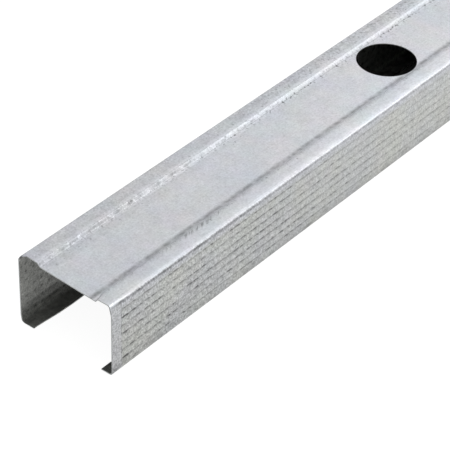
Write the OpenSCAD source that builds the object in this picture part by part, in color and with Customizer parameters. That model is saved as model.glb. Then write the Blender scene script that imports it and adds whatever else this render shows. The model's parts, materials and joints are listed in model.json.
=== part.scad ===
// Drywall metal stud: one cold-rolled C section of thin galvanized sheet.
// It lies web up on its two flange edges, along Y, with service holes in the web.
// Units are millimetres.

/* [Stud] */
// Length of the stud from end to end
stud_length = 2400; // [1000:50:4000]
// Width of the web, over the outer faces of the two flanges
web_width = 50; // [48:1:150]
// Height of the flanges, from the floor to the top of the web's edge strips
flange_height = 35; // [20:0.5:60]
// Thickness of the galvanized sheet
sheet = 0.5; // [0.4:0.05:1]

/* [Edges] */
// Inside radius of the bends at the web's edges and at the lips
corner_radius = 1.1; // [0.6:0.1:2]
// Width of the lip that is turned in under the right flange, from the flange's outer face
right_lip = 6; // [4:0.1:10]
// Width of the lip that is turned in under the left flange, from the flange's outer face
left_lip = 7.5; // [4:0.1:10]

/* [Recess] */
// Width of the flat panel that is sunk along the middle of the web
panel_width = 28.4; // [15:0.1:29]
// Depth of the sunk panel below the edge strips
panel_depth = 1.4; // [1:0.1:2.5]
// Slope of the two steps down to the panel, in degrees
step_angle = 38; // [30:1:45]
// Inside radius of the bends at the head and foot of each step
step_radius = 0.8; // [0.4:0.1:1]

/* [Service holes] */
// Diameter of the round service holes
hole_diameter = 28; // [8:0.1:28]
// Distance from the near end to the centre of the first hole
first_hole = 217; // [100:1:400]
// Distance between the centres of neighbouring holes
hole_spacing = 600; // [200:10:900]
// Least distance that is left between the last hole's centre and the far end
end_margin = 100; // [50:10:400]

/* [Hidden] */
// Colour of the galvanized steel
zinc = [0.76, 0.77, 0.79];
// Segments in a full turn of a bend and of a hole
bend_fn = 96;
hole_fn = 96;
// How far a punching cut runs past the sheet on either side
cut_past = 1;
// A right-angle bend
square_bend = 90;

// Outside radius of the edge bends and of the step bends
corner_outer = corner_radius + sheet;
step_outer = step_radius + sheet;
// Straight part of a step's slope, and the width that a whole step takes
step_bends = step_radius + step_outer;
step_slope = (panel_depth - step_bends * (1 - cos(step_angle))) / sin(step_angle);
step_run = step_bends * sin(step_angle) + step_slope * cos(step_angle);
// Flat parts of an edge strip and a flange, between their bends
strip_flat = web_width / 2 - corner_outer - panel_width / 2 - step_run;
flange_flat = flange_height - 2 * corner_outer;
// Height of the sunk panel's upper face
panel_top = flange_height - panel_depth;
// How many holes the length takes
hole_count = floor((stud_length - first_hole - end_margin) / hole_spacing) + 1;

// A flat run of sheet along +X with its outer face on y = 0, and what follows it
module flat(run) {
    translate([0, -sheet])
        square([run, sheet]);
    translate([run, 0])
        children();
}

// A bent strip of sheet about the origin, from the +X axis round to the angle
module bent_strip(angle, radius) {
    far = 2 * (radius + sheet);
    intersection() {
        difference() {
            circle(r = radius + sheet, $fn = bend_fn);
            circle(r = radius, $fn = bend_fn);
        }
        polygon([
            [0, 0],
            [far, 0],
            far * [cos(angle / 2), sin(angle / 2)],
            far * [cos(angle), sin(angle)]
        ]);
    }
}

// A bend that turns the sheet away from its outer face, and what follows it
module bend_in(angle, radius) {
    translate([0, -sheet - radius]) {
        rotate(90 - angle)
            bent_strip(angle, radius);
        rotate(-angle)
            translate([0, radius + sheet])
                children();
    }
}

// A bend that turns the sheet towards its outer face, and what follows it
module bend_out(angle, radius) {
    translate([0, radius]) {
        rotate(-90)
            bent_strip(angle, radius);
        rotate(angle)
            translate([0, -radius])
                children();
    }
}

// Everything from the sunk panel's edge out to the tip of a lip of the given width
module half_section(lip) {
    bend_out(step_angle, step_radius)
        flat(step_slope)
            bend_in(step_angle, step_radius)
                flat(strip_flat)
                    bend_in(square_bend, corner_radius)
                        flat(flange_flat)
                            bend_in(square_bend, corner_radius)
                                flat(lip - corner_outer);
}

// The whole rolled section, seen from the near end
module rolled_section() {
    translate([-panel_width / 2, -sheet])
        square([panel_width, sheet]);
    translate([panel_width / 2, 0])
        half_section(right_lip);
    mirror([1, 0])
        translate([panel_width / 2, 0])
            half_section(left_lip);
}

// The round holes punched along the middle of the web
module service_holes() {
    for (i = [0 : hole_count - 1])
        translate([0, first_hole + i * hole_spacing - stud_length / 2, panel_top - sheet - cut_past])
            cylinder(d = hole_diameter, h = sheet + 2 * cut_past, $fn = hole_fn);
}

module stud() {
    color(zinc)
        difference() {
            translate([0, stud_length / 2, panel_top])
                rotate([90, 0, 0])
                    linear_extrude(stud_length)
                        rolled_section();
            service_holes();
        }
}

stud();
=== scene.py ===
"""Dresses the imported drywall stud: the knurled flanges, the sheared end in view and the zinc."""

import json
import math

import bpy
import numpy as np
from mathutils import Matrix, Vector


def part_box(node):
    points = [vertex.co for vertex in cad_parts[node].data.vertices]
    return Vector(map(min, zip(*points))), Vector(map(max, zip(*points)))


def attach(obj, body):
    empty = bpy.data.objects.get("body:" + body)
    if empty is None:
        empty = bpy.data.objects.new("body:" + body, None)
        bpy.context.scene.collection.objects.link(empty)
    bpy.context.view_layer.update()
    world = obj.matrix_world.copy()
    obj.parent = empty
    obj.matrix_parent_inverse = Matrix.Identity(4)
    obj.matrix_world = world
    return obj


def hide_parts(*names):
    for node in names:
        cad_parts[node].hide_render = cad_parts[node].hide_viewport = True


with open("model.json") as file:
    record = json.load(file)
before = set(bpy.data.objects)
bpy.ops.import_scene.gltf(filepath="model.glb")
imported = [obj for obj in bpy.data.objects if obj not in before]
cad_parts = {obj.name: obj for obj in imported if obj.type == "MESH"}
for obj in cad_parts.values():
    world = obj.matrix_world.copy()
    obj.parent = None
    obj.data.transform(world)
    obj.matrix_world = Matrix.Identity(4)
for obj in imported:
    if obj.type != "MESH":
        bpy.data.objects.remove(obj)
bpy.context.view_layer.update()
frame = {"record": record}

MM = 0.001

# The stud's size comes from its part in model.glb, and the section repeats the part's own sizes.
LOW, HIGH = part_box("stud")
WIDTH = HIGH.x - LOW.x
HEIGHT = HIGH.z - LOW.z
NEAR_END = LOW.y
FAR_END = HIGH.y
SHEET = 0.5 * MM
CORNER_RADIUS = 1.1 * MM
RIGHT_LIP = 6 * MM
LEFT_LIP = 7.5 * MM
PANEL_WIDTH = 28.4 * MM
PANEL_DEPTH = 1.4 * MM
STEP_ANGLE = math.radians(38)
STEP_RADIUS = 0.8 * MM
HOLES = [m for m in frame["record"]["mounts"] if m["kind"] == "bore"]

# The knurl: rows of shallow pits pressed in from outside, each deepest just under its upper edge.
# FIRST_ROW is the first row's deepest line, measured down from the top of the stud.
PIT_ROWS = 7
FIRST_ROW = 4.47 * MM
ROW_PITCH = 4.14 * MM
PIT_PITCH = 4.345 * MM
PIT_RISE = 0.45 * MM
PIT_FALL = 1.05 * MM
PIT_DEPTH = 0.34 * MM
FALL_DEPTH = 0.2 * MM
FLOOR_DEPTH = 0.12 * MM
RIDGE_DEPTH = 0.1 * MM
# The plain stretch before the first pit, and the crease across the flange that ends it, with painted
# shade in the crease.
PLAIN_END = 5.8 * MM
CREASE = 5.55 * MM
CREASE_HALF_WIDTH = 0.3 * MM
CREASE_DEPTH = 0.12 * MM
CREASE_SHADE = 0.9
# How much of the knurl's relief comes through to the inside, and how far below a pit's
# deepest line its dot of painted shadow is there.
BACK_RELIEF = 0.25
DOT_DROP = 1.1 * MM
# How unevenly the lip's tip is slit.
LIP_WAVE = 0.12 * MM

# Where the flange pieces meet the web piece, measured out on the flat edge strip.
SEAM_FLAT = 1.0 * MM
# Stations along the near end that let its edge be pushed about, and the spacing further on.
END_STATIONS = [0.0, 0.6 * MM, 1.3 * MM, 2.2 * MM, 3.4 * MM]
CREASE_STATIONS = [CREASE - CREASE_HALF_WIDTH, CREASE]
WEB_END_STATIONS = END_STATIONS + [4.6 * MM, 6 * MM, 8 * MM, 11 * MM, 15 * MM]
WEB_SPACING = 100 * MM
PERIODS_PER_PLAIN_STATION = 2
CORNER_SEGMENTS = 6
STEP_SEGMENTS = 4
HOLE_SEGMENTS = 96
PUNCH_LENGTH = 20 * SHEET
SHARP_ANGLE = math.radians(40)
# How squarely a face must look along the stud to be one of the cut ends.
END_FACING = 0.9

rng = np.random.default_rng(7)


# ---------------------------------------------------------------- section

class Section:
    """The outer face of the right half of the section, followed outwards from the panel's edge."""

    def __init__(self):
        self.at = np.array([PANEL_WIDTH / 2, HEIGHT - PANEL_DEPTH])
        self.heading = 0.0
        self.points = [self.at.copy()]
        self.normals = [self.normal()]

    def normal(self):
        return np.array([-math.sin(self.heading), math.cos(self.heading)])

    def record(self):
        self.points.append(self.at.copy())
        self.normals.append(self.normal())

    def flat(self, run, stops=()):
        """Goes straight on for run, with a station at each distance in stops."""
        start = self.at.copy()
        along = np.array([math.cos(self.heading), math.sin(self.heading)])
        for distance in [*stops, run]:
            self.at = start + along * distance
            self.record()

    def bend(self, angle, radius, segments):
        """Turns in, away from the outer face, by a positive angle, or out by a negative one."""
        arm = radius + SHEET if angle > 0 else -radius
        centre = self.at - self.normal() * arm
        for _ in range(segments):
            self.heading -= angle / segments
            self.at = centre + self.normal() * arm
            self.record()


def step_slope():
    bends = 2 * STEP_RADIUS + SHEET
    return (PANEL_DEPTH - bends * (1 - math.cos(STEP_ANGLE))) / math.sin(STEP_ANGLE)


def web_half():
    """Stations from the panel's edge to the seam on the edge strip."""
    section = Section()
    section.bend(-STEP_ANGLE, STEP_RADIUS, STEP_SEGMENTS)
    section.flat(step_slope())
    section.bend(STEP_ANGLE, STEP_RADIUS, STEP_SEGMENTS)
    corner = WIDTH / 2 - CORNER_RADIUS - SHEET
    section.flat(corner - SEAM_FLAT - section.at[0])
    return np.array(section.points), np.array(section.normals)


def flange_half(lip):
    """Stations from the seam round the corner, down the flange and in to the lip's tip.

    The last list says which line of the knurl each of them is, or plain.
    """
    section = Section()
    corner = CORNER_RADIUS + SHEET
    section.at = np.array([WIDTH / 2 - corner - SEAM_FLAT, HEIGHT])
    section.points, section.normals = [], []
    section.record()
    section.flat(SEAM_FLAT)
    section.bend(math.pi / 2, CORNER_RADIUS, CORNER_SEGMENTS)
    stops, kinds = [], []
    for row in range(PIT_ROWS):
        bottom = FIRST_ROW + row * ROW_PITCH - corner
        floor = bottom + (PIT_FALL + ROW_PITCH - PIT_RISE) / 2
        stops += [bottom - PIT_RISE, bottom, bottom + PIT_FALL, floor]
        kinds += ["crest", "bottom", "fall", "floor"]
    stops.pop()
    kinds.pop()
    before = len(section.points)
    section.flat(HEIGHT - 2 * corner, stops)
    section.bend(math.pi / 2, CORNER_RADIUS, CORNER_SEGMENTS)
    section.flat(lip - corner)
    kinds = ["plain"] * before + kinds
    kinds += ["plain"] * (len(section.points) - len(kinds))
    return np.array(section.points), np.array(section.normals), kinds


# ---------------------------------------------------------------- stations along the stud

def ridges():
    """Distances from the near end of the ridges between the pits."""
    length = FAR_END - NEAR_END
    count = int((length - 2 * PLAIN_END) / PIT_PITCH) + 1
    return PLAIN_END + np.arange(count) * PIT_PITCH


# Where the vertices between two ridges stand, as shares of the pitch: outside, the pits have
# flat bottoms.
OUTER_SHARES = [0, 0.27, 0.73]
INNER_SHARES = [0, 0.5]
# What a vertex on a line along a flange is part of.
NEITHER = -1
RIDGE = 0
PIT = 1


def stations(kind, shares):
    """Distances from the near end of the vertices on one line along a flange, and their parts."""
    if kind == "plain":
        inner = ridges()[::PERIODS_PER_PLAIN_STATION]
        part = np.full(len(inner), NEITHER)
    else:
        inner = (ridges()[:-1, None] + np.array(shares) * PIT_PITCH).ravel()
        inner = np.append(inner, ridges()[-1])
        period = [PIT if share else RIDGE for share in shares]
        part = np.append(np.tile(period, len(ridges()) - 1), RIDGE)
    start = END_STATIONS + CREASE_STATIONS
    along = np.concatenate([start, inner, [FAR_END - NEAR_END]])
    part = np.concatenate([np.full(len(start), NEITHER), part, [NEITHER]])
    return along, part


def stitch(faces, a, b, along_a, along_b):
    """Joins two lines of vertices, with quads where they match and triangles elsewhere.

    a and b are the lines' first indices, and along_a and along_b their distances from the end.
    """
    i = j = 0
    near = 1e-7
    while i < len(along_a) - 1 or j < len(along_b) - 1:
        more_a, more_b = i < len(along_a) - 1, j < len(along_b) - 1
        level = abs(along_a[i] - along_b[j]) < near
        if more_a and more_b and level and abs(along_a[i + 1] - along_b[j + 1]) < near:
            faces.append((a + i, b + j, b + j + 1, a + i + 1))
            i, j = i + 1, j + 1
        elif more_a and (not more_b or along_a[i + 1] < along_b[j + 1] + near):
            faces.append((a + i, b + j, a + i + 1))
            i += 1
        else:
            faces.append((a + i, b + j, b + j + 1))
            j += 1


# ---------------------------------------------------------------- the sheared end

# How far back the whole web is cut, how much further at its left edge, where on the web that
# begins and how far along the stud it reaches.
CUT_ALL = 0.3 * MM
CUT_BACK = 1.95 * MM
CUT_FROM = 13 * MM
CUT_REACH = 20 * MM
# How far the right step's foot and shoulder are pushed out at the cut, and how fast that fades.
FLARE_FOOT = 1.7 * MM
FLARE_SHOULDER = 0.8 * MM
FLARE_REACH = 7 * MM
# Where across the stud they are, and their half widths.
FLARED_FOOT = (PANEL_WIDTH / 2 + 0.2 * MM, 3 * MM)
FLARED_SHOULDER = (PANEL_WIDTH / 2 + 3.2 * MM, 2.5 * MM)
# How far the left lip's end is cut back, from how high up that begins, how far its tip is
# pinched in and how fast that fades.
LIP_BACK = 0.9 * MM
LIP_BACK_TOP = 3 * MM
LIP_PINCH = 1.1 * MM
PINCH_REACH = 20 * MM
# How far the right corner is pushed in at the cut, how fast that fades and how far down it reaches.
TUCK = 0.95 * MM
TUCK_REACH = 11 * MM
TUCK_DROP = 6 * MM
TUCK_WIDTH = 5 * MM


def fade(distance, reach):
    """1 at the cut, falling smoothly to 0 at reach."""
    t = np.clip(1 - distance / reach, 0, 1)
    return t * t * (3 - 2 * t)


def bump(value, centre, half_width):
    """1 at the centre, falling smoothly to 0 half_width away."""
    t = np.clip(1 - np.abs(value - centre) / half_width, 0, 1)
    return t * t * (3 - 2 * t)


def shear_end(co):
    """Moves the vertices by the near end as the shears left them, and none out of the stud's box."""
    x, z = co[:, 0].copy(), co[:, 2].copy()
    from_end = co[:, 1] - NEAR_END
    bend = CORNER_RADIUS + SHEET
    round_corner = np.clip((z - (HEIGHT - bend)) / bend, 0, 1)
    on_web = np.where(np.abs(x) < WIDTH / 2 - bend, z > HEIGHT / 2, round_corner)
    skew = np.clip((CUT_FROM - x) / (CUT_FROM + WIDTH / 2), 0, 1)
    back = (CUT_ALL + CUT_BACK * skew) * on_web
    on_left = x < 0
    back += LIP_BACK * np.clip(1 - z / LIP_BACK_TOP, 0, 1) * on_left
    co[:, 1] += back * np.clip(1 - from_end / CUT_REACH, 0, 1)
    along_lip = np.clip((x + WIDTH / 2 - bend) / (LEFT_LIP - bend), 0, 1) * (z < bend) * on_left
    co[:, 0] -= LIP_PINCH * fade(from_end, PINCH_REACH) * along_lip
    flare = fade(from_end, FLARE_REACH) * on_web
    pushed = FLARE_FOOT * bump(x, *FLARED_FOOT) + FLARE_SHOULDER * bump(x, *FLARED_SHOULDER)
    co[:, 0] += flare * pushed
    tuck = TUCK * fade(from_end, TUCK_REACH) * bump(z, HEIGHT, TUCK_DROP)
    co[:, 0] -= tuck * bump(x, WIDTH / 2, TUCK_WIDTH)
    return co


# ---------------------------------------------------------------- meshes

def make_piece(name, vertices, faces, knurl_shade=None):
    """A new object of the scene. The painted shade of the knurl is kept on its vertices, for the zinc
    to read.
    """
    mesh = bpy.data.meshes.new(name)
    mesh.from_pydata(vertices, [], faces)
    mesh.validate()
    if knurl_shade is not None:
        kept = mesh.attributes.new("knurl_shade", "FLOAT", "POINT")
        kept.data.foreach_set("value", knurl_shade.astype(np.float32))
    piece = bpy.data.objects.new(name, mesh)
    bpy.context.scene.collection.objects.link(piece)
    return piece


def shade(piece):
    piece.data.shade_smooth()
    piece.data.set_sharp_from_angle(angle=SHARP_ANGLE)


# The two skins of the sheet.
OUTER_SKIN = 0
INNER_SKIN = 1
# How far each kind of line is pressed in along a pit and along a ridge, and the painted shade on it.
PRESSED = {
    "crest": (0, 0),
    "bottom": (PIT_DEPTH, RIDGE_DEPTH),
    "fall": (FALL_DEPTH, RIDGE_DEPTH / 2),
    "floor": (FLOOR_DEPTH, 0),
}
KNURL_SHADE = {
    "crest": (0, 0),
    "bottom": (1, 0.6),
    "fall": (0.15, 0.1),
    "floor": (0.08, 0.04),
}
# The rows, counted from 1 at the top, that hold twice the painted shade at the near end, and how fast
# that fades.
DARK_ROWS = (2, 7)
DARK_REACH = 25 * MM
# How much more painted shade lies below a pit from one row to the next one down, but for the last row.
SHADE_GAIN = 0.33
# The least and most that a vertex has of its line's relief and painted shade, and a crease of its
# painted shade.
UNEVEN = (0.5, 1.35)
CREASE_UNEVEN = (0.3, 1.2)


def knurl(kind, row, skin, along, part):
    """How far each vertex on a line is pressed in, and how much painted shade it has, where 0 is none.
    """
    uneven = rng.uniform(*UNEVEN, len(part))
    sink, knurl_shade = np.zeros(len(part)), np.zeros(len(part))
    if kind == "plain":
        return sink, knurl_shade
    for where, sunk, dark in zip((PIT, RIDGE), PRESSED[kind], KNURL_SHADE[kind]):
        sink[part == where] = sunk
        knurl_shade[part == where] = dark
    sink, knurl_shade = sink * uneven, knurl_shade * uneven
    if row in DARK_ROWS:
        knurl_shade = knurl_shade * (1 + fade(along, DARK_REACH))
    if kind in ("fall", "floor") and row < PIT_ROWS:
        knurl_shade = knurl_shade * (1 + SHADE_GAIN * row)
    sink[along == CREASE] = CREASE_DEPTH
    knurl_shade[along == CREASE] = CREASE_SHADE * rng.uniform(*CREASE_UNEVEN)
    if skin == INNER_SKIN:
        return sink * BACK_RELIEF, np.zeros(len(part))
    return sink, knurl_shade


def flange_faces(first, lines):
    """Faces between the lines of both skins, which follow each other, and over the open edges."""
    count = len(first) // 2
    tip = count - 1
    outward, inward = [], []
    for i in range(tip):
        back = count + i
        stitch(outward, first[i], first[i + 1], lines[i], lines[i + 1])
        stitch(inward, first[back], first[back + 1], lines[back], lines[back + 1])
        ends = (i, i + 1, back + 1, back)
        inward.append(tuple(first[line] for line in ends))
        outward.append(tuple(first[line] + len(lines[line]) - 1 for line in ends))
    stitch(inward, first[0], first[count], lines[0], lines[count])
    stitch(outward, first[tip], first[count + tip], lines[tip], lines[count + tip])
    return outward + [tuple(reversed(face)) for face in inward]


def build_flange(name, side):
    """One knurled flange with its corner and lip, as a closed strip of sheet.

    side is 1 on the right and -1 on the left.
    """
    points, normals, kinds = flange_half(RIGHT_LIP if side > 0 else LEFT_LIP)
    tip = len(points) - 1
    plain_count = len(stations("plain", OUTER_SHARES)[0])
    waves = np.maximum(rng.normal(0, LIP_WAVE, plain_count), 0)
    vertices, knurl_shade, first, lines = [], [], [], []
    total = 0
    for skin, shares in ((OUTER_SKIN, OUTER_SHARES), (INNER_SKIN, INNER_SHARES)):
        for i, kind in enumerate(kinds):
            along, part = stations(kind, shares)
            row = kinds[:i + 1].count("crest")
            sink, dark = knurl(kind, row, skin, along, part)
            point = points[i] - normals[i] * SHEET * skin
            x = point[0] - normals[i][0] * sink
            z = point[1] - normals[i][1] * sink
            if i == tip:
                x = x + waves
            vertices.append(np.column_stack([side * x, NEAR_END + along, z]))
            knurl_shade.append(dark)
            lines.append(along)
            first.append(total)
            total += len(along)
    faces = flange_faces(first, lines)
    if side < 0:
        faces = [tuple(reversed(face)) for face in faces]
    piece = make_piece(name, shear_end(np.concatenate(vertices)), faces, np.concatenate(knurl_shade))
    shade(piece)
    return piece


def build_web():
    """The web between the two seams, as a closed strip of sheet with the service holes punched."""
    points, normals = web_half()
    mirror = np.array([-1, 1])
    outer = np.concatenate([(points * mirror)[::-1], points])
    facing = np.concatenate([(normals * mirror)[::-1], normals])
    loop = np.concatenate([outer, (outer - facing * SHEET)[::-1]])
    length = FAR_END - NEAR_END
    spaced = np.arange(WEB_SPACING, length, WEB_SPACING)
    along = np.concatenate([WEB_END_STATIONS, spaced[spaced > WEB_END_STATIONS[-1]], [length]])
    n = len(loop)
    rings = [np.column_stack([loop[:, 0], np.full(n, NEAR_END + y), loop[:, 1]]) for y in along]
    faces = []
    for ring in range(len(along) - 1):
        a = ring * n
        faces += [(a + i, a + n + i, a + n + (i + 1) % n, a + (i + 1) % n) for i in range(n)]
    last = (len(along) - 1) * n
    for i in range(n // 2 - 1):
        quad = (i, i + 1, n - 2 - i, n - 1 - i)
        faces.append(quad)
        faces.append(tuple(last + v for v in reversed(quad)))
    piece = make_piece("web", shear_end(np.concatenate(rings)), faces)
    punch(piece)
    shade(piece)
    return piece


def coat(piece, zinc, steel):
    """Gives the cut faces at both ends the bare steel and all the rest the zinc."""
    piece.data.materials.append(zinc)
    piece.data.materials.append(steel)
    for face in piece.data.polygons:
        face.material_index = 1 if abs(face.normal.y) > END_FACING else 0


def punch(piece):
    """Cuts the service holes that the record states."""
    for hole in HOLES:
        bpy.ops.mesh.primitive_cylinder_add(
            vertices=HOLE_SEGMENTS,
            radius=hole["dims"]["r_mm"] * MM,
            depth=PUNCH_LENGTH,
            location=hole["pos_m"],
        )
        cutter = bpy.context.object
        cut = piece.modifiers.new("punch", "BOOLEAN")
        cut.object, cut.operation, cut.solver = cutter, "DIFFERENCE", "EXACT"
        graph = bpy.context.evaluated_depsgraph_get()
        punched = bpy.data.meshes.new_from_object(piece.evaluated_get(graph))
        piece.modifiers.clear()
        piece.data = punched
        bpy.data.objects.remove(cutter)


# ---------------------------------------------------------------- nodes

def add(tree, kind, inputs=None, **settings):
    """Adds a node. Each input is a value to set or a socket to link."""
    made = tree.nodes.new(kind)
    for key, value in settings.items():
        setattr(made, key, value)
    for key, value in (inputs or {}).items():
        if isinstance(value, bpy.types.NodeSocket):
            tree.links.new(value, made.inputs[key])
        else:
            made.inputs[key].default_value = value
    return made


class Nodes:
    """Short names for the nodes that the materials are made of."""

    def __init__(self, tree):
        self.tree = tree

    def math(self, operation, a, b=0.0):
        return add(self.tree, "ShaderNodeMath", {0: a, 1: b}, operation=operation).outputs[0]

    def plus(self, first, *others):
        for other in others:
            first = self.math("ADD", first, other)
        return first

    def times(self, first, *others):
        for other in others:
            first = self.math("MULTIPLY", first, other)
        return first

    def rest(self, value):
        """What is left of 1."""
        return self.math("SUBTRACT", 1.0, value)

    def darken(self, value, *amounts):
        """Takes a share from a value: the product of the amounts."""
        return self.times(value, self.rest(self.times(*amounts)))

    def lighten(self, value, *amounts):
        """Adds a share to a value: the product of the amounts."""
        return self.times(value, self.plus(1.0, self.times(*amounts)))

    def ramp(self, value, low, high, out_low=0.0, out_high=1.0):
        """Goes smoothly from out_low where value is low to out_high where it is high."""
        return add(self.tree, "ShaderNodeMapRange", {
            "Value": value, "From Min": low, "From Max": high, "To Min": out_low, "To Max": out_high,
        }, interpolation_type="SMOOTHSTEP").outputs["Result"]

    def band(self, value, centre, half_width):
        """1 at the centre and 0 from half_width away."""
        return self.ramp(self.math("ABSOLUTE", self.plus(value, -centre)), half_width, 0.0)

    def noise(self, place, scale, detail=2.0, stretch=(1, 1, 1), roughness=0.5):
        """Noise about 0, mostly between -1 and 1. scale is in cycles a metre."""
        spread = self.vector("MULTIPLY", {0: place, 1: stretch})
        fac = add(self.tree, "ShaderNodeTexNoise", {
            "Vector": spread, "Scale": scale, "Detail": detail, "Roughness": roughness,
        }).outputs["Fac"]
        return self.times(self.plus(fac, -0.5), 4.0)

    def vector(self, operation, inputs):
        return add(self.tree, "ShaderNodeVectorMath", inputs, operation=operation).outputs[0]

    def mix(self, factor, a, b):
        """Goes from colour a to colour b."""
        made = add(self.tree, "ShaderNodeMix", {"Factor": factor}, data_type="RGBA")
        for socket, value in ((made.inputs[6], a), (made.inputs[7], b)):
            if isinstance(value, bpy.types.NodeSocket):
                self.tree.links.new(value, socket)
            else:
                socket.default_value = (*value, 1)
        return made.outputs[2]

    def tint(self, color, factor):
        """Multiplies a colour by a number."""
        return self.vector("SCALE", {0: color, "Scale": factor})

    def mottle(self, color, place, scale, amount):
        """Drifts each channel of a colour up and down by about a tenth of amount."""
        drift = add(self.tree, "ShaderNodeTexNoise", {
            "Vector": place, "Scale": scale, "Detail": 2.0,
        }).outputs["Color"]
        spread = (amount, amount, amount)
        least = (1 - amount / 2, 1 - amount / 2, 1 - amount / 2)
        drift = self.vector("MULTIPLY_ADD", {0: drift, 1: spread, 2: least})
        return self.vector("MULTIPLY", {0: color, 1: drift})


def new_material(name):
    """An empty material, and the nodes to fill it with."""
    material = bpy.data.materials.new(name)
    material.use_nodes = True
    material.node_tree.nodes.clear()
    return material, Nodes(material.node_tree)


# ---------------------------------------------------------------- zinc

WEB_COLORS = ((0.578, 0.602, 0.643), (0.612, 0.617, 0.636))
# The flanges' colours are darker than the web's: painted shade on the sides.
FLANGE_COLORS = ((0.545, 0.557, 0.568), (0.57, 0.58, 0.552))
FLANGE_TOP_COLOR = (0.57, 0.582, 0.61)
PLAIN_END_COLOR = (0.53, 0.537, 0.552)
INSIDE_COLOR = (0.53, 0.54, 0.51)

# Strips that run along the web: how far right of the middle line each is centred, and its half
# width. Most of them are parts of the two steps, and most carry painted shade or painted highlights.
STEP_MIDDLE = PANEL_WIDTH / 2 + 1.3 * MM
STRIPS = {
    "left_streak": (2.9 * MM - WIDTH / 2, 1.3 * MM),
    "left_rim": (-1.3 * MM - STEP_MIDDLE, 1.2 * MM),
    "left_step": (-STEP_MIDDLE, 2.4 * MM),
    "left_groove": (0.15 * MM - STEP_MIDDLE, 1.5 * MM),
    "left_slope": (0.8 * MM - STEP_MIDDLE, 1.0 * MM),
    "left_pecks": (1.4 * MM - STEP_MIDDLE, 2.0 * MM),
    "foot_rim": (1.45 * MM - STEP_MIDDLE, 1.0 * MM),
    "foot_light": (1.7 * MM - STEP_MIDDLE, 1.5 * MM),
    "left_foot": (2.3 * MM - STEP_MIDDLE, 1.2 * MM),
    "left_hollow": (4.3 * MM - STEP_MIDDLE, 3.2 * MM),
    "right_step": (STEP_MIDDLE - 1.75 * MM, 2.0 * MM),
    "right_slope": (STEP_MIDDLE - 0.4 * MM, 1.0 * MM),
    "right_shoulder": (STEP_MIDDLE + 1.15 * MM, 1.7 * MM),
    "right_ticks": (STEP_MIDDLE + 1.7 * MM, 1.8 * MM),
    "corner_crown": (WIDTH / 2 - 1.5 * MM, 1.0 * MM),
}


class Site:
    """Where on the stud a point of the zinc is, with masks from 0 to 1 for the parts of it."""

    def __init__(self, n):
        self.nodes = n
        spot = add(n.tree, "ShaderNodeTexCoord").outputs
        self.place = spot["Object"]
        self.x, self.y, self.z = add(n.tree, "ShaderNodeSeparateXYZ", {0: self.place}).outputs
        facing = add(n.tree, "ShaderNodeSeparateXYZ", {0: spot["Normal"]}).outputs
        self.across = n.math("ABSOLUTE", self.x)
        self.from_end = n.plus(self.y, -NEAR_END)
        self.near = self.along(150, 40)
        self.far = self.along(90, 170)
        outward = n.plus(
            n.times(self.x, facing["X"]),
            n.times(n.plus(self.z, -HEIGHT / 2), facing["Z"]),
        )
        self.inside = n.math("LESS_THAN", outward, 0.0)
        self.outside = n.rest(self.inside)
        self.flange = n.ramp(self.across, WIDTH / 2 - 0.9 * MM, WIDTH / 2 - 0.4 * MM)
        self.rounded = n.ramp(self.across, WIDTH / 2 - 1.1 * MM, WIDTH / 2 - 0.6 * MM)
        self.left_strip = n.ramp(self.x, -WIDTH / 2 + 8 * MM, -WIDTH / 2 + 6 * MM)
        self.lip = n.ramp(self.z, 1.2 * MM, 0.7 * MM)

    def along(self, low, high, out_low=0.0, out_high=1.0):
        """A ramp along the stud, between two distances from the near end in mm."""
        return self.nodes.ramp(self.from_end, low * MM, high * MM, out_low, out_high)

    def strip(self, name):
        return self.nodes.band(self.x, *STRIPS[name])

    def skewed(self, slope):
        """The place, with lines across the stud turned askew."""
        n = self.nodes
        y = n.plus(self.y, n.times(self.x, slope))
        return add(n.tree, "ShaderNodeCombineXYZ", {0: self.x, 1: y, 2: self.z}).outputs[0]


class Grain:
    """Crystals, rolling streaks, blotches and specks, all about 0, and scuffs from 0 to 1."""

    def __init__(self, n, site):
        crystals = add(n.tree, "ShaderNodeTexVoronoi", {"Vector": site.place, "Scale": 520.0})
        shade = add(n.tree, "ShaderNodeSeparateColor", {0: crystals.outputs["Color"]}).outputs[0]
        self.crystal = n.plus(shade, -0.5)
        self.streak = n.noise(site.place, 1.0, 3, (1100, 16, 1100))
        self.blotch = n.noise(site.place, 120, 4, roughness=0.6)
        self.speck = n.noise(site.place, 1300, 2)
        self.scuff = n.ramp(n.noise(site.skewed(0.5), 1.0, 2, (360, 1100, 360)), 0.0, 0.8)


def zinc_color(n, site):
    """A cool pale grey on the web. The flanges are darker, as painted shade, bluish at the top and
    greenish below, and darker still towards their foot.
    """
    web = n.mix(n.ramp(n.noise(site.place, 34, 3), -0.8, 0.8), *WEB_COLORS)
    flange = n.mix(n.ramp(n.noise(site.place, 40, 3), -0.8, 0.8), *FLANGE_COLORS)
    flange = n.mix(n.ramp(site.z, HEIGHT - 5 * MM, HEIGHT - 2 * MM), flange, FLANGE_TOP_COLOR)
    flange = n.mix(site.along(6.6, 5), flange, PLAIN_END_COLOR)
    flange = n.tint(flange, n.ramp(site.z, 0.0, 8 * MM, 0.74, 1.0))
    web = n.mottle(web, site.place, 90.0, 0.1)
    flange = n.mottle(flange, site.place, 90.0, 0.05)
    return n.mix(site.inside, n.mix(site.flange, web, flange), INSIDE_COLOR)


def grain_value(n, site, grain):
    """How light the clean coating is, about 1."""
    value = n.plus(1.0, n.times(grain.crystal, 0.07))
    value = n.plus(value, n.times(grain.streak, 0.035))
    value = n.plus(value, n.times(grain.blotch, 0.05))
    on_flange = n.times(site.flange, n.plus(0.19, n.times(site.near, 0.14)))
    speckled = n.plus(n.plus(0.13, on_flange), n.times(site.left_strip, 0.07))
    return n.plus(value, n.times(grain.speck, speckled))


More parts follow.
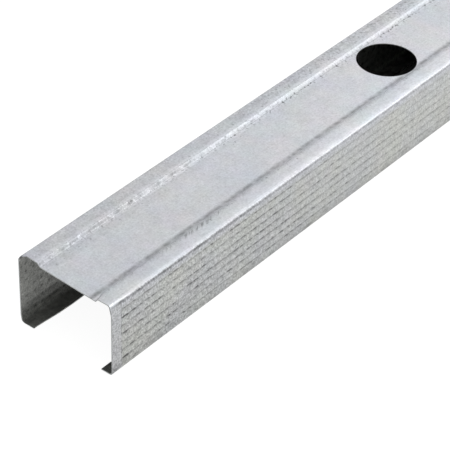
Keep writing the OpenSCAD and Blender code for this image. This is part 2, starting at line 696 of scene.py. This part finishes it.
def knurl_shadows(n, site):
    """Painted shade in the knurl's pits and rows outside, and a dot of painted shadow under each pit
    inside.
    """
    pits_along = n.times(n.plus(site.from_end, PIT_PITCH - PLAIN_END), 1 / PIT_PITCH)
    pits_along = n.math("FRACT", pits_along)
    pits_down = n.times(n.plus(n.times(site.z, -1.0), HEIGHT - FIRST_ROW), 1 / ROW_PITCH)
    pits_down = n.math("FRACT", pits_down)
    dots = n.times(n.band(pits_along, 0.5, 0.3), n.band(pits_down, DOT_DROP / ROW_PITCH, 0.26))
    dots = n.times(dots, n.times(site.flange, site.inside))
    dots = n.times(dots, n.ramp(n.noise(site.place, 210, 1), -0.7, 0.5, 0.6, 1.0))

    knurl_shade = add(n.tree, "ShaderNodeAttribute", attribute_name="knurl_shade").outputs["Fac"]
    lines = n.times(n.math("POWER", knurl_shade, 1.5), site.outside)
    strength = n.plus(site.along(400, 90, 0.4, 0.8), site.along(35, 70, 0.32, 0.42))
    lines = n.times(lines, n.plus(site.along(18, 5, 0.0, 0.5), strength))
    faded = n.times(site.far, n.ramp(site.z, 10 * MM, 30 * MM, 0.5, 1.0))
    lines = n.darken(lines, faded, 0.7)

    # Further off the rows of pits run together into thin lines of painted shade.
    from_row = n.plus(n.math("FRACT", n.plus(pits_down, 0.5)), -0.5)
    joined = n.ramp(n.math("ABSOLUTE", from_row), 0.14, 0.03)
    joined = n.times(joined, n.ramp(site.z, HEIGHT - FIRST_ROW + 1 * MM, HEIGHT - FIRST_ROW))
    joined = n.times(joined, site.flange, site.outside)
    joined = n.times(joined, site.along(40, 110, 0.0, 0.12), site.along(150, 240, 1.0, 0.3))
    return n.plus(n.times(lines, 0.6), joined, n.times(dots, 0.85))


def web_shadows(n, site, grain):
    """Painted shade along the two steps, the left edge strip and under the corners."""
    shoulder = n.times(site.strip("right_shoulder"), site.along(40, 170, 0.85, 0.95))
    shoulder = n.times(shoulder, n.plus(0.19, n.times(grain.scuff, 0.18)))
    right = n.plus(n.times(site.strip("right_step"), 0.46), shoulder)
    foot = n.times(site.strip("left_foot"), site.along(90, 150, 0.09, 0.02))
    groove = n.times(site.strip("left_groove"), site.along(120, 85), 0.42)
    hollow = n.times(site.strip("left_hollow"), site.along(110, 20, 0.02, 0.09))
    slope = n.times(site.strip("left_slope"), site.along(85, 120, 0.0, 0.27))
    # A painted dark line far along the left edge strip, and painted shade over the whole strip.
    streak = n.times(site.strip("left_streak"), site.far, 0.09)
    edge = n.times(site.left_strip, 0.13)
    # Under each corner a dark reflection line is painted.
    under = n.times(n.band(site.z, HEIGHT - 0.85 * MM, 1.2 * MM), site.rounded)
    under = n.times(under, n.plus(0.21, n.times(site.near, 0.34)))
    return n.plus(right, n.plus(foot, groove), hollow, slope, streak, n.plus(edge, under))


def step_wear_and_painted_light(n, site, grain, value):
    """Painted shade that tones down the left step's highlight, more where scuffed, painted highlights
    on the steps' rims, painted glints on the left step, and dark ticks on the right one's shoulder.
    """
    # The left step is darkened: painted shade over its highlight, and more where it is scuffed.
    scuffed = n.times(grain.scuff, n.plus(0.14, n.times(site.far, -0.08)))
    left_step = site.strip("left_step")
    value = n.darken(value, left_step, n.plus(n.plus(0.05, n.times(site.far, 0.05)), scuffed))
    ticks = n.ramp(n.noise(site.skewed(1.28), 1.0, 1, (150, 620, 150)), 0.2, 0.6)
    ticks = n.times(ticks, site.strip("right_ticks"), n.band(site.from_end, 64 * MM, 36 * MM))
    value = n.darken(value, ticks, 0.5)
    # Painted highlights along the rims of the steps.
    foot_rim = n.times(site.strip("foot_rim"), n.band(site.from_end, 90 * MM, 80 * MM))
    rims = n.plus(n.times(foot_rim, 0.18), n.times(site.strip("right_slope"), 0.12))
    value = n.lighten(value, n.plus(n.times(site.strip("left_rim"), 0.08), rims))
    # Painted glints along the left step.
    glint = n.ramp(n.noise(site.place, 800, 2, (1, 0.6, 1)), 0.15, 0.75)
    return n.plus(value, n.times(glint, left_step, n.plus(0.04, n.times(site.near, 0.26))))


def shade_inside(n, site, grain, value):
    """Painted shade inside, the more so further in and less round the lower bend, made uneven by
    noise; the lips are mottled and get more of it, the right one most.
    """
    foot = n.times(n.band(site.z, 3 * MM, 3.2 * MM), -0.38)
    inside_shade = n.plus(site.along(3, 9, 0.42, 0.54), foot)
    inside_shade = n.plus(inside_shade, n.times(n.noise(site.place, 420, 2), 0.14))
    mottled = n.plus(n.times(grain.blotch, 0.12), n.ramp(site.x, -1 * MM, 1 * MM, 0.0, 0.29))
    inside_shade = n.plus(inside_shade, n.times(site.lip, mottled))
    return n.darken(value, site.inside, inside_shade)


def paint_right_highlights(n, site, value):
    """Painted highlights: lightens the right edge strip, its corner's crown and, far off, the panel's
    right half.
    """
    strip = n.times(n.ramp(site.x, WIDTH / 2 - 6 * MM, WIDTH / 2 - 2 * MM), n.rest(site.flange))
    value = n.lighten(value, strip, site.along(20, 160, 0.1, 0.15))
    value = n.lighten(value, site.strip("corner_crown"), n.plus(0.21, n.times(site.far, -0.07)))
    return n.lighten(value, n.ramp(site.x, 0.0, 8 * MM), site.far, 0.05)


def pits_and_foot_highlight(n, site, value):
    """Pinholes, closest together by the steps, dark pecks along the foot of the left step, and a
    painted highlight between them.
    """
    pinhole = n.ramp(n.noise(site.place, 620, 1), 0.65, 1.05)
    by_step = n.band(site.across, STEP_MIDDLE + 1.5 * MM, 4 * MM)
    by_step = n.plus(by_step, n.times(site.strip("left_hollow"), 0.7), 0.25)
    value = n.darken(value, pinhole, by_step, 0.36)
    # The pecks go on more faintly on the strip beside the step.
    peck = n.ramp(n.noise(site.place, 680, 1), 0.25, 0.6)
    pecked = n.plus(site.strip("left_pecks"), n.times(site.left_strip, site.far, 0.45))
    value = n.darken(value, n.times(peck, site.along(70, 160, 0.3, 0.62)), pecked)
    # Between them the foot of the step gets a painted highlight.
    return n.lighten(value, site.strip("foot_light"), site.along(30, 100, 0.03, 0.11))


def painted_light_and_foot_blotches(n, site, value):
    """Painted light that makes the near end a little darker than the rest, the flanges a little darker
    further off, painted shade low on the flanges near the end, and darker blotches at the foot of each
    flange.
    """
    # Painted light grows along the stud, so the near end is a little darker.
    value = n.times(value, site.along(-20, 260, 0.94, 1.05))
    value = n.lighten(value, site.flange, site.along(80, 170, 0.01, -0.045))
    # Near the end the lower half of the flanges gets a little painted shade.
    low_half = n.times(site.flange, n.band(site.z, 9 * MM, 9 * MM), site.along(70, 40))
    value = n.darken(value, low_half, 0.045)
    foot_blotch = n.ramp(n.noise(site.place, 1.0, 3, (260, 130, 520), 0.6), 0.05, 0.8)
    return n.darken(value, foot_blotch, n.ramp(site.z, 7 * MM, 2 * MM, 0.04, 0.36))


def galvanized():
    """The zinc coating, with painted shade and painted highlights in its colour. Its tints and painted
    light follow the section, so that they run on from piece to piece.
    """
    material, n = new_material("zinc")
    site = Site(n)
    grain = Grain(n, site)
    color = zinc_color(n, site)
    value = grain_value(n, site, grain)
    # Painted shade in the knurl, along the steps and under the corners, made uneven by noise.
    shade_unevenness = n.ramp(n.noise(site.place, 330, 3), -0.9, 0.9, 0.5, 1.3)
    shadows = n.times(n.plus(knurl_shadows(n, site), web_shadows(n, site, grain)), shade_unevenness)
    value = n.darken(value, n.math("MINIMUM", shadows, 0.8))
    value = step_wear_and_painted_light(n, site, grain, value)
    value = shade_inside(n, site, grain, value)
    value = paint_right_highlights(n, site, value)
    value = pits_and_foot_highlight(n, site, value)
    value = painted_light_and_foot_blotches(n, site, value)

    rough = n.plus(n.plus(0.38, n.times(grain.crystal, 0.1)), n.times(grain.blotch, 0.04))
    relief = n.plus(n.times(grain.streak, 0.4), n.plus(grain.blotch, n.times(grain.speck, 0.5)))
    dented = add(n.tree, "ShaderNodeBump", {"Height": relief, "Strength": 0.35, "Distance": 0.03 * MM})
    shader = add(n.tree, "ShaderNodeBsdfPrincipled", {
        "Base Color": n.tint(color, value),
        "Metallic": 0.6,
        "Roughness": rough,
        "Normal": dented.outputs[0],
    })
    add(n.tree, "ShaderNodeOutputMaterial", {"Surface": shader.outputs["BSDF"]})
    return material


# ---------------------------------------------------------------- bare steel and floor

SHEARED_COLORS = ((0.26, 0.27, 0.27), (0.42, 0.43, 0.43))


def sheared_steel():
    """The bare edge that the shears leave: dull, with drag lines, and dark at the tucked corner."""
    material, n = new_material("sheared_edge")
    place = add(n.tree, "ShaderNodeTexCoord").outputs["Object"]
    axes = add(n.tree, "ShaderNodeSeparateXYZ", {0: place}).outputs
    drag = n.noise(place, 1.0, 2, (2600, 200, 500))
    color = n.mix(n.ramp(drag, -1.0, 1.0), *SHEARED_COLORS)
    right_side = n.math("GREATER_THAN", axes["X"], WIDTH / 2 - 2 * MM)
    corner = n.times(n.band(axes["Z"], HEIGHT - 1.6 * MM, 3 * MM), right_side)
    color = n.tint(color, n.rest(n.times(corner, 0.6)))
    shader = add(n.tree, "ShaderNodeBsdfPrincipled", {
        "Base Color": color, "Metallic": 0.8, "Roughness": n.plus(0.38, n.times(drag, 0.06)),
    })
    add(n.tree, "ShaderNodeOutputMaterial", {"Surface": shader.outputs["BSDF"]})
    return material


# The floor glows white to the camera and to reflections, but not under the stud, whose inside
# stays dark.
FLOOR_GLOW = 0.93
FLOOR_COLOR = (0.16, 0.16, 0.16)
FLOOR_EDGE = 1.7 * MM
GLOW_REACH = 50 * MM


def floor_material():
    material, n = new_material("floor")
    ray = add(n.tree, "ShaderNodeLightPath").outputs
    seen = n.plus(ray["Is Camera Ray"], ray["Is Glossy Ray"], ray["Is Transmission Ray"])
    seen = n.math("MINIMUM", seen, 1.0)
    place = add(n.tree, "ShaderNodeTexCoord").outputs["Object"]
    axes = add(n.tree, "ShaderNodeSeparateXYZ", {0: place}).outputs
    across = n.math("ABSOLUTE", axes["X"])
    beside = n.math("GREATER_THAN", across, WIDTH / 2 - FLOOR_EDGE)
    before = n.math("LESS_THAN", axes["Y"], NEAR_END + GLOW_REACH)
    beyond = n.math("GREATER_THAN", axes["Y"], FAR_END - GLOW_REACH)
    open_floor = n.math("MAXIMUM", n.math("MAXIMUM", before, beyond), beside)
    glow = n.times(seen, open_floor, FLOOR_GLOW)
    diffuse = add(n.tree, "ShaderNodeBsdfDiffuse", {"Color": (*FLOOR_COLOR, 1)})
    emission = add(n.tree, "ShaderNodeEmission", {"Color": (1, 1, 1, 1), "Strength": glow})
    both = add(n.tree, "ShaderNodeAddShader", {0: diffuse.outputs[0], 1: emission.outputs[0]})
    add(n.tree, "ShaderNodeOutputMaterial", {"Surface": both.outputs[0]})
    return material


# ---------------------------------------------------------------- stage

FLOOR_SIZE = 80


def build_floor():
    bpy.ops.mesh.primitive_plane_add(size=FLOOR_SIZE, location=(0, 0, LOW.z))
    floor = bpy.context.object
    floor.name = "floor"
    floor.data.materials.append(floor_material())


# The studio is bright overhead and dim towards the horizon, which is what shows up the knurl.
# It is at full strength in directions that rise by HORIZON_ENDS of their length or more.
SKY_STRENGTH = 0.95
HORIZON_STRENGTH = 0.4
HORIZON_ENDS = 0.32


def build_world():
    world = bpy.data.worlds.new("studio")
    world.use_nodes = True
    tree = world.node_tree
    tree.nodes.clear()
    towards = add(tree, "ShaderNodeTexCoord").outputs["Generated"]
    up = add(tree, "ShaderNodeSeparateXYZ", {0: towards}).outputs["Z"]
    strength = add(tree, "ShaderNodeMapRange", {
        "Value": up, "From Min": 0.0, "From Max": HORIZON_ENDS,
        "To Min": HORIZON_STRENGTH, "To Max": SKY_STRENGTH,
    }, interpolation_type="SMOOTHSTEP").outputs["Result"]
    background = add(tree, "ShaderNodeBackground", {"Color": (1, 1, 1, 1), "Strength": strength})
    add(tree, "ShaderNodeOutputWorld", {"Surface": background.outputs[0]})
    bpy.context.scene.world = world


KEY_TOWARDS = (0.47, 0.63, 0.62)
KEY_ANGLE = 40
KEY_STRENGTH = 0.6


def add_sun(name, towards, angle, strength):
    """A soft distant lamp. towards points from the stud to the lamp."""
    lamp = bpy.data.lights.new(name, "SUN")
    lamp.angle = math.radians(angle)
    lamp.energy = strength
    sun = bpy.data.objects.new(name, lamp)
    sun.rotation_euler = Vector(towards).to_track_quat("Z", "Y").to_euler()
    bpy.context.scene.collection.objects.link(sun)


# ---------------------------------------------------------------- camera

CAMERA_AZIMUTH = math.radians(38.19)
CAMERA_ELEVATION = math.radians(37.13)
CAMERA_ROLL = math.radians(1.69)
CAMERA_LENS = 166.6
CAMERA_DISTANCE = 907 * MM
# The point that the camera looks at: on the floor, a little left of the stud's middle line.
CAMERA_AIM = Vector((-4.1 * MM, NEAR_END + 106.2 * MM, 0))


def build_camera():
    data = bpy.data.cameras.new("camera")
    data.lens = CAMERA_LENS
    data.clip_start, data.clip_end = 0.05, 200
    camera = bpy.data.objects.new("camera", data)
    back = Vector((
        math.sin(CAMERA_AZIMUTH) * math.cos(CAMERA_ELEVATION),
        -math.cos(CAMERA_AZIMUTH) * math.cos(CAMERA_ELEVATION),
        math.sin(CAMERA_ELEVATION),
    ))
    facing = (-back).to_track_quat("-Z", "Y").to_matrix()
    roll = Matrix.Rotation(CAMERA_ROLL, 3, "Z")
    place = Matrix.Translation(CAMERA_AIM + back * CAMERA_DISTANCE)
    camera.matrix_world = place @ (facing @ roll).to_4x4()
    bpy.context.scene.collection.objects.link(camera)
    bpy.context.scene.camera = camera


# ---------------------------------------------------------------- scene

scene = bpy.context.scene
scene.view_settings.view_transform = "Standard"

build_camera()
build_floor()
build_world()
add_sun("key", KEY_TOWARDS, KEY_ANGLE, KEY_STRENGTH)

zinc = galvanized()
steel = sheared_steel()
for piece in [build_web(), build_flange("flange_right", 1), build_flange("flange_left", -1)]:
    coat(piece, zinc, steel)
    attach(piece, "root")
    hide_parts("stud")
